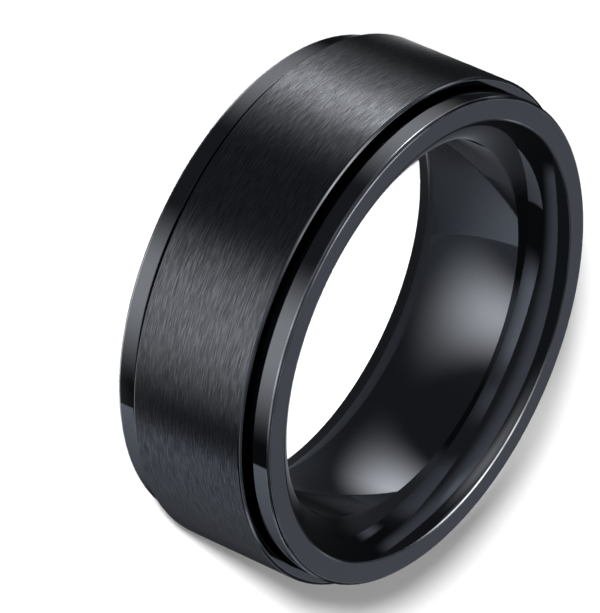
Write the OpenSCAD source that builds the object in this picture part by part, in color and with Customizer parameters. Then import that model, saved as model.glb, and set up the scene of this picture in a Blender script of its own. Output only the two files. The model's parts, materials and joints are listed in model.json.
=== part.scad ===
// Spinner ring: a fixed inner band with two raised rims, and an outer band that turns between them.
// The ring's axis is +Z. The lower end face lies at z = 0, and the ring rests on it.

/* [Ring] */
// Width of the ring, from one end face to the other
ring_w = 8; // [7:0.25:12]
// Diameter of the bore that the finger goes through
bore_d = 17; // [15:0.25:22]

/* [Inner band] */
// Wall of the inner band under the spinner
wall_t = 1.85; // [1.7:0.05:2.6]
// Height of each rim above the race that the spinner turns on
rim_h = 0.6; // [0.4:0.05:0.9]
// Thickness of each rim along the ring's axis
rim_t = 0.88; // [0.7:0.02:1.4]
// Bevel on the outer edge of each end face
rim_bevel = 0.13; // [0.05:0.01:0.25]
// How far the rounded edge of the bore reaches in from each end face
comfort_depth = 1.74; // [1.5:0.02:2]
// How much the rounded edge widens the bore's radius at each end face
comfort_flare = 1.41; // [0.8:0.01:1.45]

/* [Spinner band] */
// Thickness of the spinner band
spinner_t = 1; // [0.7:0.05:1.5]
// Bevel on both outer edges of the spinner band
spinner_bevel = 0.15; // [0.05:0.01:0.3]

/* [Clearances] */
// Radial clearance between the spinner band and the race
running_clearance = 0.05; // [0.03:0.01:0.1]
// Gap between the spinner band and the rim on each side
side_gap = 0.3; // [0.1:0.02:0.5]

/* [Hidden] */
$fn = 180;

bore_r = bore_d / 2;
race_r = bore_r + wall_t;
rim_r = race_r + rim_h;
// The rounded edge is an arc that is tangent to the bore and ends on the end face
comfort_r = (pow(comfort_depth, 2) + pow(comfort_flare, 2)) / (2 * comfort_flare);

spinner_in_r = race_r + running_clearance;
spinner_out_r = spinner_in_r + spinner_t;
spinner_z = rim_t + side_gap;
spinner_w = ring_w - 2 * spinner_z;

// Material between a bore's sharp edge and the arc that rounds it, for the lower end face
module comfort_cut() {
    difference() {
        translate([0, -1])
            square([bore_r + comfort_flare, 1 + comfort_depth]);
        translate([bore_r + comfort_r, comfort_depth])
            circle(r = comfort_r);
    }
}

module inner_band_section() {
    difference() {
        polygon([
            [bore_r, 0],
            [rim_r - rim_bevel, 0],
            [rim_r, rim_bevel],
            [rim_r, rim_t],
            [race_r, rim_t],
            [race_r, ring_w - rim_t],
            [rim_r, ring_w - rim_t],
            [rim_r, ring_w - rim_bevel],
            [rim_r - rim_bevel, ring_w],
            [bore_r, ring_w],
        ]);
        comfort_cut();
        translate([0, ring_w])
            mirror([0, 1])
                comfort_cut();
    }
}

module inner_band() {
    color("#3a3d42")
        rotate_extrude()
            inner_band_section();
}

module spinner_band() {
    color("#1d1e20")
        translate([0, 0, spinner_z])
            rotate_extrude()
                polygon([
                    [spinner_in_r, 0],
                    [spinner_out_r - spinner_bevel, 0],
                    [spinner_out_r, spinner_bevel],
                    [spinner_out_r, spinner_w - spinner_bevel],
                    [spinner_out_r - spinner_bevel, spinner_w],
                    [spinner_in_r, spinner_w],
                ]);
}

inner_band();
spinner_band();
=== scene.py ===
import json
import math

import bpy
from mathutils import Matrix, Vector


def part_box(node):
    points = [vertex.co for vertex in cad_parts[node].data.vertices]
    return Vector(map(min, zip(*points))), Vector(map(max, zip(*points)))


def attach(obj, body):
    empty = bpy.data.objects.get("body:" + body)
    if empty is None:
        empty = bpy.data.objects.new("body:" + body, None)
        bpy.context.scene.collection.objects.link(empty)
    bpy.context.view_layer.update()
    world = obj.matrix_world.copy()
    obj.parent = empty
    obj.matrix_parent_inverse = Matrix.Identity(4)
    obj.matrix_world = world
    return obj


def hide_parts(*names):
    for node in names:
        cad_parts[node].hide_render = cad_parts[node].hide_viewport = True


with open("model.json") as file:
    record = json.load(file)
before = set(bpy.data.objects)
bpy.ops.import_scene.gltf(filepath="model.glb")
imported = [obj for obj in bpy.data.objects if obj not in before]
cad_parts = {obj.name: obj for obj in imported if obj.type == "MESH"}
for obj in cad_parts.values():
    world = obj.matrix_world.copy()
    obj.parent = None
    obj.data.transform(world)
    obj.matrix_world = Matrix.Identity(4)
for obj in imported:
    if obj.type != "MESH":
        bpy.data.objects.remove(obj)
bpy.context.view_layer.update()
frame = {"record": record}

# The camera. It looks down on the ring's upper end face at the photograph's angle, from far away with a long
# lens, and it is rolled so that the ring's axis points right and a little down in the picture.
MM = 0.001
VIEW_DOWN = math.radians(30.67)
VIEW_ROLL = math.radians(113.76)
VIEW_DISTANCE = 276.7 * MM
LENS = 384.8
SENSOR = 36
NEAREST_SEEN = 10 * MM
FARTHEST_SEEN = 20
AIM_RIGHT_OF_RING = -2.34 * MM
AIM_ABOVE_RING = 0.14 * MM

ring_low, ring_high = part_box("inner_band")
ring_middle = Vector((0, 0, (ring_low.z + ring_high.z) / 2))
view_turn = Matrix.Rotation(math.radians(90) - VIEW_DOWN, 4, "X") @ Matrix.Rotation(VIEW_ROLL, 4, "Z")
view_offset = Vector((AIM_RIGHT_OF_RING, AIM_ABOVE_RING, VIEW_DISTANCE))
camera = bpy.data.objects.new("camera", bpy.data.cameras.new("camera"))
camera.data.lens = LENS
camera.data.sensor_width = SENSOR
camera.data.clip_start = NEAREST_SEEN
camera.data.clip_end = FARTHEST_SEEN
camera.matrix_world = Matrix.Translation(ring_middle) @ view_turn @ Matrix.Translation(view_offset)
bpy.context.scene.collection.objects.link(camera)
bpy.context.scene.camera = camera
bpy.context.scene.view_settings.view_transform = "Standard"

# The inner band: one turned piece of stainless steel with a rounded bore, a race for the outer band and a
# raised rim at each edge. All but the groove between the rims is polished to a mirror, and then the whole
# piece is coated black in a vacuum chamber.
BORE_RADIUS = frame["record"]["mounts"][0]["dims"]["r_mm"] * MM
RACE_RADIUS = 10.35 * MM
RIM_THICKNESS = 0.88 * MM
RIM_BEVEL = 0.1 * MM
WORN_RADIUS = 0.09 * MM
WORN_EDGE_STEPS = 6
GROOVE_EDGE_ROUND = 0.05 * MM
GROOVE_EDGE_STEPS = 4
STEPS_ROUND = 360

# The rounded edge of the bore sets off at a small angle to the bore and ends in a narrow, nearly level lip.
# Angles are in degrees, and CREASE is how close the stations on both sides of a crease lie to it.
BORE_EDGE_DEPTH = 1.74 * MM
BORE_EDGE_FLARE = 1.41 * MM
BORE_EDGE_START = 12
BORE_EDGE_STEPS = 32
LIP_WIDTH = 0.1 * MM
LIP_TILT = 74
LIP_ROUNDING = 2
CREASE = 0.005 * MM


def arc(centre, radius, start, end, steps, worn=False):
    """Stations along a rounded edge: (radius, height, tilt of the normal in degrees, worn or not)."""
    tilts = [start + (end - start) * step / steps for step in range(steps + 1)]
    return [
        (
            centre[0] + radius * math.cos(math.radians(tilt)),
            centre[1] + radius * math.sin(math.radians(tilt)),
            tilt,
            worn,
        )
        for tilt in tilts
    ]


def bevelled_edge(outer_radius, face_height, width, height, worn_outside):
    """Stations of a lower outer edge: a flat bevel between two creases that handling has softened. The inner
    crease is worn bright, and worn_outside says whether the outer one is.
    """
    tilt = -math.degrees(math.atan2(width, height))
    inner_reach = WORN_RADIUS * math.tan(math.radians(90 + tilt) / 2)
    outer_reach = WORN_RADIUS * math.tan(math.radians(-tilt) / 2)
    inner_centre = (outer_radius - width - inner_reach, face_height + WORN_RADIUS)
    outer_centre = (outer_radius - WORN_RADIUS, face_height + height + outer_reach)
    return [
        *arc(inner_centre, WORN_RADIUS, -90, tilt, WORN_EDGE_STEPS, True),
        *arc(outer_centre, WORN_RADIUS, tilt, 0, WORN_EDGE_STEPS, worn_outside),
    ]


def flipped(stations, width):
    """The same stations mirrored to the other edge of a band of that width, in the order of the outline."""
    return [(radius, width - height, -tilt, worn) for radius, height, tilt, worn in reversed(stations)]


def turned(name, section, materials, material_of):
    """A closed solid of revolution, with exact normals from the stations' tilts, so mirror images are smooth.
    material_of gives the place in the list of materials for the strip between two stations.
    """
    points, normals, faces = [], [], []
    count = len(section)
    for step in range(STEPS_ROUND):
        turn = math.tau * step / STEPS_ROUND
        for radius, height, tilt, worn in section:
            outward = math.cos(math.radians(tilt))
            upward = math.sin(math.radians(tilt))
            points.append((radius * math.cos(turn), radius * math.sin(turn), height))
            normals.append((outward * math.cos(turn), outward * math.sin(turn), upward))
        following = (step + 1) % STEPS_ROUND
        for at in range(count):
            ahead = (at + 1) % count
            faces.append((
                step * count + at,
                following * count + at,
                following * count + ahead,
                step * count + ahead,
            ))
    mesh = bpy.data.meshes.new(name)
    mesh.from_pydata(points, [], faces)
    mesh.shade_smooth()
    mesh.normals_split_custom_set_from_vertices(normals)
    for material in materials:
        mesh.materials.append(material)
    for face in mesh.polygons:
        face.material_index = material_of(section[face.index % count], section[(face.index + 1) % count])
    piece = bpy.data.objects.new(name, mesh)
    bpy.context.scene.collection.objects.link(piece)
    return piece


def linear(hex_colour):
    """An sRGB hex colour as the linear RGBA that a shader takes."""
    parts = [int(hex_colour[i:i + 2], 16) / 255 for i in (1, 3, 5)]
    return [c / 12.92 if c <= 0.04045 else ((c + 0.055) / 1.055) ** 2.4 for c in parts] + [1]


def add(tree, kind, settings=None, links=None):
    """Adds a shader node. Settings are its properties or its inputs' values, and links come from outputs."""
    node = tree.nodes.new("ShaderNode" + kind)
    for name, value in (settings or {}).items():
        if hasattr(node, str(name)):
            setattr(node, name, value)
        else:
            node.inputs[name].default_value = value
    for name, output in (links or {}).items():
        tree.links.new(output, node.inputs[name])
    return node


# Stainless steel, mirror-polished and then coated black by physical vapour deposition. The thin hard coat is
# itself metallic, so the eye sees a dark, faintly blue mirror. The lines that the polishing wheel leaves
# round the ring are too fine to see, and are drawn 0.05 mm wide, so that they soften the mirror images.
POLISHED_BLACK = "#57595d"
POLISH_LINE_WIDTH = 0.05
POLISH_LINE_LENGTH = 3.0
polished = bpy.data.materials.new("black_coated_polished_steel")
polished.use_nodes = True
tree = polished.node_tree
tree.nodes.clear()
place = add(tree, "TexCoord")
along = 1 / (POLISH_LINE_LENGTH * MM)
across = 1 / (POLISH_LINE_WIDTH * MM)
stretch = add(tree, "Mapping", {"Scale": (along, along, across)}, {"Vector": place.outputs["Object"]})
lines = add(tree, "TexNoise", {"Scale": 1, "Detail": 2}, {"Vector": stretch.outputs["Vector"]})
sheen = add(tree, "MapRange", {"To Min": 0.03, "To Max": 0.05}, {"Value": lines.outputs["Fac"]})
surface = add(
    tree,
    "BsdfPrincipled",
    {"Base Color": linear(POLISHED_BLACK), "Metallic": 1},
    {"Roughness": sheen.outputs["Result"]},
)
add(tree, "OutputMaterial", links={"Surface": surface.outputs["BSDF"]})

# The same steel where handling has worn the coat thin, on the sharp creases: the eye sees a bright hairline
# that is brighter where more of the coat is gone.
WORN_STEEL = "#b9bbbe"
THINNED_COAT = "#8e9094"
WORN_PATCH = 1.5
worn_edge = bpy.data.materials.new("worn_bright_steel_edge")
worn_edge.use_nodes = True
tree = worn_edge.node_tree
tree.nodes.clear()
place = add(tree, "TexCoord")
patches = add(
    tree, "TexNoise", {"Scale": 1 / (WORN_PATCH * MM), "Detail": 3}, {"Vector": place.outputs["Object"]}
)
wear = add(tree, "MapRange", {"From Min": 0.35, "From Max": 0.6}, {"Value": patches.outputs["Fac"]})
bare = add(
    tree,
    "Mix",
    {"data_type": "RGBA", 6: linear(THINNED_COAT), 7: linear(WORN_STEEL)},
    {0: wear.outputs["Result"]},
)
surface = add(
    tree,
    "BsdfPrincipled",
    {"Metallic": 1, "Roughness": 0.12},
    {"Base Color": bare.outputs[2]},
)
add(tree, "OutputMaterial", links={"Surface": surface.outputs["BSDF"]})

# The same steel in the groove under the outer band: turned and coated, but out of the polishing wheel's
# reach. It is dull and mirrors nothing sharply, so the eye sees a plain black slit beside the outer band.
TURNED_BLACK = "#6d6f73"
turned_black = bpy.data.materials.new("black_coated_turned_steel")
turned_black.use_nodes = True
tree = turned_black.node_tree
tree.nodes.clear()
surface = add(
    tree, "BsdfPrincipled", {"Base Color": linear(TURNED_BLACK), "Metallic": 1, "Roughness": 0.45}
)
add(tree, "OutputMaterial", links={"Surface": surface.outputs["BSDF"]})

# Places in each band's list of materials. The third is turned steel in one and brushed steel in the other.
POLISHED = 0
WORN = 1
TURNED = 2
BRUSHED = 2


def inner_finish_of(start, end):
    """The finish of the strip between two stations. At a groove's wall both of them tilt by 90 degrees the
    same way. At an end face one tilts by 90 degrees one way and the other by 270 degrees the other way.
    """
    start_radius, start_height, start_tilt, start_worn = start
    end_radius, end_height, end_tilt, end_worn = end
    if start_worn and end_worn and start_tilt != end_tilt:
        return WORN
    on_race = start_radius == end_radius == RACE_RADIUS
    on_groove_wall = start_tilt == end_tilt and abs(end_tilt) == 90
    return TURNED if on_race or on_groove_wall else POLISHED


ring_width = ring_high.z - ring_low.z
rim_radius = max(ring_high.x, ring_high.y)
lip_radius = BORE_RADIUS + BORE_EDGE_FLARE - LIP_WIDTH / 2
lip_height = LIP_WIDTH / math.tan(math.radians(LIP_TILT))
edge_start = math.radians(BORE_EDGE_START)
edge_end = 2 * math.atan2(lip_radius - BORE_RADIUS, BORE_EDGE_DEPTH - lip_height) - edge_start
edge_radius = (lip_radius - BORE_RADIUS) / (math.cos(edge_start) - math.cos(edge_end))
edge_centre = (
    BORE_RADIUS + edge_radius * math.cos(edge_start),
    BORE_EDGE_DEPTH + edge_radius * math.sin(edge_start),
)
from_tilt = 180 + BORE_EDGE_START
to_tilt = 180 + math.degrees(edge_end)
lower_bore_edge = [
    (BORE_RADIUS, BORE_EDGE_DEPTH + CREASE, 180, False),
    *arc(edge_centre, edge_radius, from_tilt, to_tilt, BORE_EDGE_STEPS),
    (lip_radius + CREASE, lip_height - CREASE / 3, 180 + LIP_TILT - LIP_ROUNDING, True),
    (lip_radius + LIP_WIDTH - CREASE, CREASE / 3, 180 + LIP_TILT + LIP_ROUNDING, True),
]
groove_edge_centre = (rim_radius - GROOVE_EDGE_ROUND, RIM_THICKNESS - GROOVE_EDGE_ROUND)
lower_rim = [
    (lip_radius + LIP_WIDTH, 0, 270, False),
    *bevelled_edge(rim_radius, 0, RIM_BEVEL, RIM_BEVEL, True),
    *arc(groove_edge_centre, GROOVE_EDGE_ROUND, 0, 90, GROOVE_EDGE_STEPS),
    (RACE_RADIUS + GROOVE_EDGE_ROUND, RIM_THICKNESS, 90, False),
    (RACE_RADIUS, RIM_THICKNESS + GROOVE_EDGE_ROUND, 0, False),
]
lower_half = lower_bore_edge + lower_rim
inner_band = turned(
    "inner_band_polished",
    lower_half + flipped(lower_half, ring_width),
    [polished, worn_edge, turned_black],
    inner_finish_of,
)
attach(inner_band, "inner")
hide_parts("inner_band")

# The outer band that spins: a plain hoop of the same steel that runs on the race with a hair of clearance.
# Its face is brushed round the ring before coating. Its sides stay polished, and its bevels are worn bright.
RUNNING_CLEARANCE = 0.05 * MM
SPINNER_BEVEL_WIDTH = 0.12 * MM
SPINNER_BEVEL_HEIGHT = 0.07 * MM
# The bevel itself tilts by 60 degrees, and its outer crease is worn down to this tilt.
WORN_FROM_TILT = 50

# Stainless steel, brushed on a turning belt and then coated black. The fine lines run round the ring, so
# light is drawn out across them: the eye sees bright and dark bars that lie across the band, and lines that
# sparkle in the bright ones. The lines are really about 0.01 mm wide and are drawn three times as wide, so
# that they show in the render.
BRUSHED_BLACK_RIDGE = "#626468"
BRUSHED_BLACK_SCRATCH = "#414246"
BRUSH_LINE_WIDTH = 0.03
BRUSH_LINE_LENGTH = 0.65
BRUSH_DEPTH = 0.006
brushed = bpy.data.materials.new("black_coated_brushed_steel")
brushed.use_nodes = True
tree = brushed.node_tree
tree.nodes.clear()
place = add(tree, "TexCoord")
along = 1 / (BRUSH_LINE_LENGTH * MM)
across = 1 / (BRUSH_LINE_WIDTH * MM)
stretch = add(tree, "Mapping", {"Scale": (along, along, across)}, {"Vector": place.outputs["Object"]})
lines = add(
    tree, "TexNoise", {"Scale": 1, "Detail": 3, "Roughness": 0.6}, {"Vector": stretch.outputs["Vector"]}
)
contrast = add(tree, "MapRange", {"From Min": 0.37, "From Max": 0.63}, {"Value": lines.outputs["Fac"]})
tint = add(
    tree,
    "Mix",
    {"data_type": "RGBA", 6: linear(BRUSHED_BLACK_SCRATCH), 7: linear(BRUSHED_BLACK_RIDGE)},
    {0: contrast.outputs["Result"]},
)
sheen = add(tree, "MapRange", {"To Min": 0.34, "To Max": 0.26}, {"Value": contrast.outputs["Result"]})
relief = add(
    tree,
    "Bump",
    {"Strength": 0.5, "Distance": BRUSH_DEPTH * MM},
    {"Height": lines.outputs["Fac"]},
)
round_the_ring = add(tree, "Tangent", {"direction_type": "RADIAL", "axis": "Z"})
surface = add(
    tree,
    "BsdfPrincipled",
    {"Metallic": 1, "Anisotropic": 0.9, "Anisotropic Rotation": 0.25},
    {
        "Base Color": tint.outputs[2],
        "Roughness": sheen.outputs["Result"],
        "Normal": relief.outputs["Normal"],
        "Tangent": round_the_ring.outputs["Tangent"],
    },
)
add(tree, "OutputMaterial", links={"Surface": surface.outputs["BSDF"]})

spinner_low, spinner_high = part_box("spinner_band")
spinner_radius = max(spinner_high.x, spinner_high.y)
spinner_inside = RACE_RADIUS + RUNNING_CLEARANCE
lower_edge = [
    (spinner_inside, spinner_low.z + GROOVE_EDGE_ROUND, 180, False),
    (spinner_inside + GROOVE_EDGE_ROUND, spinner_low.z, 270, False),
    *bevelled_edge(spinner_radius, spinner_low.z, SPINNER_BEVEL_WIDTH, SPINNER_BEVEL_HEIGHT, False),
]


def spinner_finish_of(start, end):
    """The finish of a strip of the outer band: its tilt is 0 on the face, and 90 or more past the bevels."""
    tilt = (abs(start[2]) + abs(end[2])) / 2
    if tilt == 0:
        return BRUSHED
    return WORN if WORN_FROM_TILT < tilt < 90 else POLISHED


spinner_band = turned(
    "spinner_band_brushed",
    lower_edge + flipped(lower_edge, spinner_low.z + spinner_high.z),
    [polished, worn_edge, brushed],
    spinner_finish_of,
)
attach(spinner_band, "spinner")
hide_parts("spinner_band")

# The table: a plain sheet of matt white paper, so bright that it shows as the photograph's empty white
# ground. Its fibres give it a mottle that is almost too faint to see. The steel doesn't mirror it, but the
# studio's soft lights and cards, which follow below.
FLOOR_SIZE = 6
FLOOR_GAP = 0.02 * MM
MOTTLE_SIZE = 2.5
paper = bpy.data.materials.new("matt_white_paper")
paper.use_nodes = True
tree = paper.node_tree
tree.nodes.clear()
place = add(tree, "TexCoord")
fibres = add(
    tree, "TexNoise", {"Scale": 1 / (MOTTLE_SIZE * MM), "Detail": 4}, {"Vector": place.outputs["Object"]}
)
shade = add(tree, "MapRange", {"To Min": 0.86, "To Max": 0.9}, {"Value": fibres.outputs["Fac"]})
surface = add(tree, "BsdfDiffuse", links={"Color": shade.outputs["Result"]})
add(tree, "OutputMaterial", links={"Surface": surface.outputs["BSDF"]})
half = FLOOR_SIZE / 2
corners = [(x, y, -FLOOR_GAP) for x, y in ((-half, -half), (half, -half), (half, half), (-half, half))]
floor_mesh = bpy.data.meshes.new("floor")
floor_mesh.from_pydata(corners, [], [(0, 1, 2, 3)])
floor_mesh.materials.append(paper)
floor = bpy.data.objects.new("floor", floor_mesh)
floor.visible_glossy = False
bpy.context.scene.collection.objects.link(floor)

# The lamps that light the table, none of which the steel mirrors. A low soft one throws the ring's pale
# shadow behind it, and a weaker and lower one adds a faint longer shadow. A narrow one looks down the bore
# with the camera, which keeps the paper white inside the ring. Angles are in degrees round the ring's axis
# and above the table.
LAMP_DISTANCE = 300 * MM
HOLE_MIDDLE = (1 * MM, 6.5 * MM, 0)
HOLE_LAMP_SIZE = 1 * MM
HOLE_LAMP_BLEND = 0.15


def direction(round_angle, up_angle):
    """The direction from the ring towards a place round and above it."""
    turn = math.radians(round_angle)
    rise = math.radians(up_angle)
    return Vector((math.cos(rise) * math.cos(turn), math.cos(rise) * math.sin(turn), math.sin(rise)))


for name, kind, aim, towards, power, softness in (
    ("left_lamp", "SUN", (0, 0, 0), direction(263, 26), 6.8, 5.5),
    ("front_lamp", "SUN", (0, 0, 0), direction(282, 18.5), 0.8, 8),
    ("hole_lamp", "SPOT", HOLE_MIDDLE, direction(268, 31), 8, 3.6),
):
    lamp = bpy.data.objects.new(name, bpy.data.lights.new(name, kind))
    lamp.data.energy = power
    if kind == "SUN":
        lamp.data.angle = math.radians(softness)
    else:
        lamp.data.spot_size = math.radians(softness)
        lamp.data.spot_blend = HOLE_LAMP_BLEND
        lamp.data.shadow_soft_size = HOLE_LAMP_SIZE
    lamp.location = Vector(aim) + towards * LAMP_DISTANCE
    lamp.rotation_euler = towards.to_track_quat("Z", "Y").to_euler()
    lamp.visible_glossy = False
    lamp.visible_camera = False
    bpy.context.scene.collection.objects.link(lamp)

# What the steel mirrors: sheets of lit cloth round the ring, most of which fade out towards their edges.
# Only their mirror images show. Angles are in degrees, and places and radii in millimetres.
SOFT_BOX_DISTANCE = 300 * MM
SHEET_STEPS = 60
NEUTRAL = (1, 1, 1)
COOL = (0.93, 1, 1.12)
SOFT_EDGED = (0.5, 0.5, 0.5, 0.5)
HARD_EDGED = (0, 0, 0, 0)


def round_the_ring_sheet(from_round, to_round, from_up, to_up):
    """Places on a sheet that is bent round the ring, between two angles round it and two above its plane."""
    def place(across, up):
        round_angle = from_round + (to_round - from_round) * across
        up_angle = from_up + (to_up - from_up) * up
        return ring_middle + direction(round_angle, up_angle) * SOFT_BOX_DISTANCE
    return place


def flat_sheet(corner, across_edge, up_edge):
    """Places on a flat sheet, from one corner and its two edges in millimetres."""
    def place(across, up):
        return (Vector(corner) + Vector(across_edge) * across + Vector(up_edge) * up) * MM
    return place


def round_sheet(centre, inner_radius, outer_radius, from_round=0, to_round=360):
    """Places on a level round sheet: across goes round it, and up goes from its inner to its outer edge."""
    def place(across, up):
        turn = math.radians(from_round + (to_round - from_round) * across)
        radius = inner_radius + (outer_radius - inner_radius) * up
        return (Vector(centre) + Vector((math.cos(turn), math.sin(turn), 0)) * radius) * MM
    return place


def upright_sheet(inset, from_round, to_round, from_height, to_height):
    """Places on an upright sheet that is bent round inside the bore, between two angles and two heights."""
    def place(across, up):
        radius = BORE_RADIUS / MM - inset
        turn = math.radians(from_round + (to_round - from_round) * across)
        height = from_height + (to_height - from_height) * up
        return Vector((radius * math.cos(turn), radius * math.sin(turn), height)) * MM
    return place


def glowing_sheet(name, place, brightness, fade, backing="clear", colour=COOL):
    """A sheet that glows. fade gives the share of it that each soft edge takes: first and last across, first
    and last up. With a share over 1 the sheet ends before its full brightness. A clear sheet adds to what
    lies behind it and a black one hides it. A one_sided one hides it from its front only, and so does a
    veil, whose soft edges fade to clear and not to black.
    """
    glow = bpy.data.materials.new(name)
    glow.use_nodes = True
    tree = glow.node_tree
    tree.nodes.clear()
    shares = add(tree, "SeparateXYZ", links={"Vector": add(tree, "TexCoord").outputs["UV"]})
    level = None
    for axis, edge, share in (("X", 0, fade[0]), ("X", 1, fade[1]), ("Y", 0, fade[2]), ("Y", 1, fade[3])):
        if share == 0:
            continue
        full_at = edge + share * (1 - 2 * edge)
        rise = add(
            tree,
            "MapRange",
            {"interpolation_type": "SMOOTHSTEP", "From Min": edge, "From Max": full_at},
            {"Value": shares.outputs[axis]},
        ).outputs["Result"]
        if level is None:
            level = rise
        else:
            level = add(tree, "Math", {"operation": "MULTIPLY"}, {0: level, 1: rise}).outputs["Value"]
    light = add(tree, "Emission", {"Color": (*colour, 1), "Strength": brightness})
    shader = light.outputs["Emission"]
    clear = add(tree, "BsdfTransparent").outputs["BSDF"]
    if backing == "veil":
        shader = add(tree, "MixShader", links={0: level, 1: clear, 2: shader}).outputs["Shader"]
    elif level is not None:
        strength = add(tree, "Math", {"operation": "MULTIPLY", 1: brightness}, {0: level})
        tree.links.new(strength.outputs["Value"], light.inputs["Strength"])
    if backing == "clear":
        shader = add(tree, "AddShader", links={0: shader, 1: clear}).outputs["Shader"]
    if backing in ("one_sided", "veil"):
        from_behind = add(tree, "NewGeometry").outputs["Backfacing"]
        shader = add(tree, "MixShader", links={0: from_behind, 1: shader, 2: clear}).outputs["Shader"]
    add(tree, "OutputMaterial", links={"Surface": shader})
    row = SHEET_STEPS + 1
    points = [place(x / SHEET_STEPS, y / SHEET_STEPS) for y in range(row) for x in range(row)]
    faces = [
        (y * row + x, y * row + x + 1, (y + 1) * row + x + 1, (y + 1) * row + x)
        for y in range(SHEET_STEPS)
        for x in range(SHEET_STEPS)
    ]
    mesh = bpy.data.meshes.new(name)
    mesh.from_pydata(points, [], faces)
    places = mesh.uv_layers.new(name="shares")
    for loop in mesh.loops:
        x = loop.vertex_index % row
        y = loop.vertex_index // row
        places.data[loop.index].uv = (x / SHEET_STEPS, y / SHEET_STEPS)
    mesh.materials.append(glow)
    sheet = bpy.data.objects.new(name, mesh)
    sheet.visible_camera = False
    sheet.visible_diffuse = False
    sheet.visible_shadow = False
    bpy.context.scene.collection.objects.link(sheet)


# The camera looks down on the brushed face and the rims, so the soft boxes that they mirror lie low, below
# the table's level. Dim walls stand round the ring, and the bevels and rounded edges mirror the sheets
# overhead.
glowing_sheet(
    "left_soft_box", round_the_ring_sheet(142, 221, -60, -6), 1.5, (0.54, 0.45, 0.25, 0.25), colour=NEUTRAL
)
glowing_sheet(
    "left_upper_soft_box", round_the_ring_sheet(173, 206, -28, -6), 7, (0.5, 0.5, 0.35, 0.3), colour=NEUTRAL
)
glowing_sheet("left_wall", round_the_ring_sheet(160, 220, -12, 31), 0.3, (0.3, 0.3, 1, 0))
glowing_sheet("left_corner_wall", round_the_ring_sheet(132, 156, -14, 17), 0.4, (0.5, 0.5, 0.8, 0.1))
glowing_sheet(
    "front_soft_box", round_the_ring_sheet(258, 346, -60, -6), 1.75, (0.386, 0.51, 0.2, 0.1), colour=NEUTRAL
)
glowing_sheet("front_left_wall", round_the_ring_sheet(234, 276, -12, 33), 0.3, (0.5, 0.5, 1, 0))
glowing_sheet("front_wall", round_the_ring_sheet(263, 346, -12, 33), 0.85, (0.33, 0.33, 1, 0))
glowing_sheet("front_fill", round_the_ring_sheet(150, 340, -70, 80), 0.06, (0.1, 0.1, 0.1, 0.1))
glowing_sheet("side_window", flat_sheet((43, -9.5, -38), (0, 61.5, 0), (0, 0, 34)), 1.5, (0, 1.9, 0.1, 0.1))
glowing_sheet(
    "side_wall", flat_sheet((293, 62, -90), (-143, 198, -150), (0, 0, 250)), 0.45, (0.05, 0.2, 1, 0)
)
glowing_sheet("back_wall", round_the_ring_sheet(76, 104, 21, 38), 0.4, (0.15, 0.15, 0.15, 0.15))
glowing_sheet("overhead_sheet", round_sheet((0, 215, 300), 275, 560, -210, 30), 0.37, (0.08, 0.08, 0, 1))
glowing_sheet("overhead_glow", flat_sheet((-300, -90, 299), (160, 0, 0), (0, 170, 0)), 0.4, SOFT_EDGED)
glowing_sheet("overhead_flag", round_sheet((0, 215, 298), 0, 275), 0.06, HARD_EDGED, "black")
glowing_sheet(
    "high_soft_box", flat_sheet((-153, 85, 296), (170, 0, 0), (0, 200, 0)), 3.5, SOFT_EDGED, colour=NEUTRAL
)
glowing_sheet(
    "zenith_soft_box", flat_sheet((-215, -60, 296), (250, 0, 0), (0, 190, 0)), 1, SOFT_EDGED, colour=NEUTRAL
)

# Under the ring a black card with soft pale areas closes the bore, for the steel only. Its mirror image
# gives the dark bore, its two round highlights and the straight edges between its darker and paler parts.
bore = BORE_RADIUS / MM
glowing_sheet("bore_card", round_sheet((0, 3.4, -3), 0, 12.8), 0.08, HARD_EDGED, "black")
glowing_sheet("bore_collar", round_sheet((0, 0, -0.2), bore, bore + 2.4), 0.03, HARD_EDGED, "black")
glowing_sheet("bore_collar_glow", round_sheet((0, 0, -0.15), bore, bore + 1.2), 0.05, (0, 0, 0, 1))
glowing_sheet("bore_card_front", round_sheet((0, 3.4, -2.9), 0, 12.8, -122, -4), 0.05, HARD_EDGED)
glowing_sheet("bore_card_middle", round_sheet((0, 3.4, -2.9), 0, 12.8, -122, -4), 0.14, (1, 0, 0, 0))
glowing_sheet("bore_card_rear", round_sheet((0, 3.4, -2.8), 0, 12.8, -4, 100), 0.75, (0, 1, 1, 0))
glowing_sheet("bore_card_glow", flat_sheet((-5, 2, -2.85), (11, 0, 0), (0, 9, 0)), 0.12, SOFT_EDGED)
glowing_sheet(
    "bore_spot_left",
    flat_sheet((-16, -0.2, -2.7), (13.2, 0, 0), (0, 13.2, 0)),
    3.7,
    (0.5, 0.5, 0.6, 0.45),
    colour=NEUTRAL,
)
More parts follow.
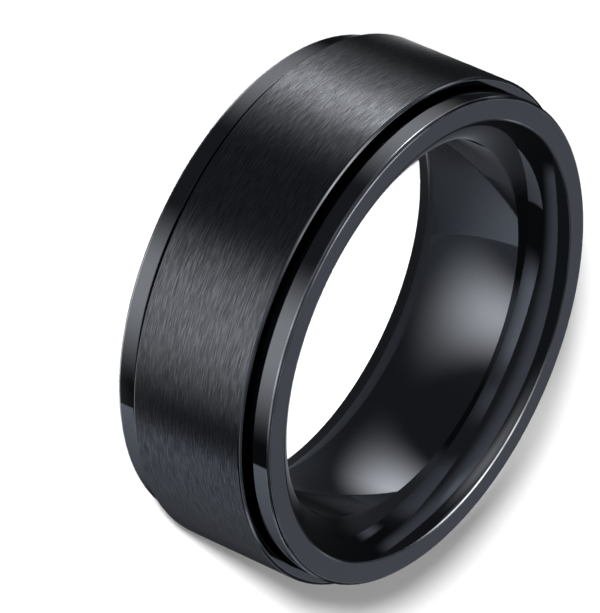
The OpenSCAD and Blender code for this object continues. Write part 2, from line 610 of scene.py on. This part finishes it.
glowing_sheet(
    "bore_spot_front",
    flat_sheet((3.4, -15.2, -2.6), (11.4, 6.3, 0), (-7.76, 14, 0)),
    2.9,
    SOFT_EDGED,
    colour=NEUTRAL,
)

# A dark one-sided curtain hangs just inside the bore, with paler veils in front of it, so that the rounded
# edges mirror soft light and not the other side of the bore. It is as tall as the ring is wide.
top = ring_width / MM
glowing_sheet("bore_curtain", upright_sheet(0.03, 360, 0, 0, top), 0.025, HARD_EDGED, "one_sided")
glowing_sheet("bore_curtain_upper", upright_sheet(0.06, 165, 58, 1.5, top), 0.13, (0.1, 0.35, 0.3, 0), "veil")
glowing_sheet("bore_curtain_right", upright_sheet(0.08, 92, 45, -0.8, 4.5), 0.18, (0, 1, 0.4, 0.45), "veil")
glowing_sheet("bore_curtain_rear", upright_sheet(0.08, 160, 92, 0, 4.5), 0.2, (1, 0, 0, 0.5), "veil")
glowing_sheet("bore_curtain_left", upright_sheet(0.08, 205, 148, 0, top), 0.2, (0.5, 0.4, 0, 0), "veil")
glowing_sheet("bore_curtain_glow", upright_sheet(0.1, 250, 350, 0, top), 0.25, (0.7, 0.3, 0, 0))

# The studio round them: white for the camera, so that the table has no edge, a little light for the paper,
# and nearly black where the steel mirrors it.
CAMERA_WHITE = 0.96
PAPER_LIGHT = 0.27
MIRRORED_LIGHT = 0.03
world = bpy.data.worlds.new("studio")
world.use_nodes = True
bpy.context.scene.world = world
tree = world.node_tree
tree.nodes.clear()
seen = add(tree, "LightPath")
paper_light = add(tree, "Background", {"Color": (1, 1, 1, 1), "Strength": PAPER_LIGHT})
mirrored_walls = add(tree, "Background", {"Color": (0.92, 0.98, 1.1, 1), "Strength": MIRRORED_LIGHT})
white_walls = add(tree, "Background", {"Color": (1, 1, 1, 1), "Strength": CAMERA_WHITE})
unseen = add(
    tree,
    "MixShader",
    links={"Fac": seen.outputs["Is Glossy Ray"], 1: paper_light.outputs[0], 2: mirrored_walls.outputs[0]},
)
walls = add(
    tree,
    "MixShader",
    links={"Fac": seen.outputs["Is Camera Ray"], 1: unseen.outputs[0], 2: white_walls.outputs[0]},
)
add(tree, "OutputWorld", links={"Surface": walls.outputs["Shader"]})
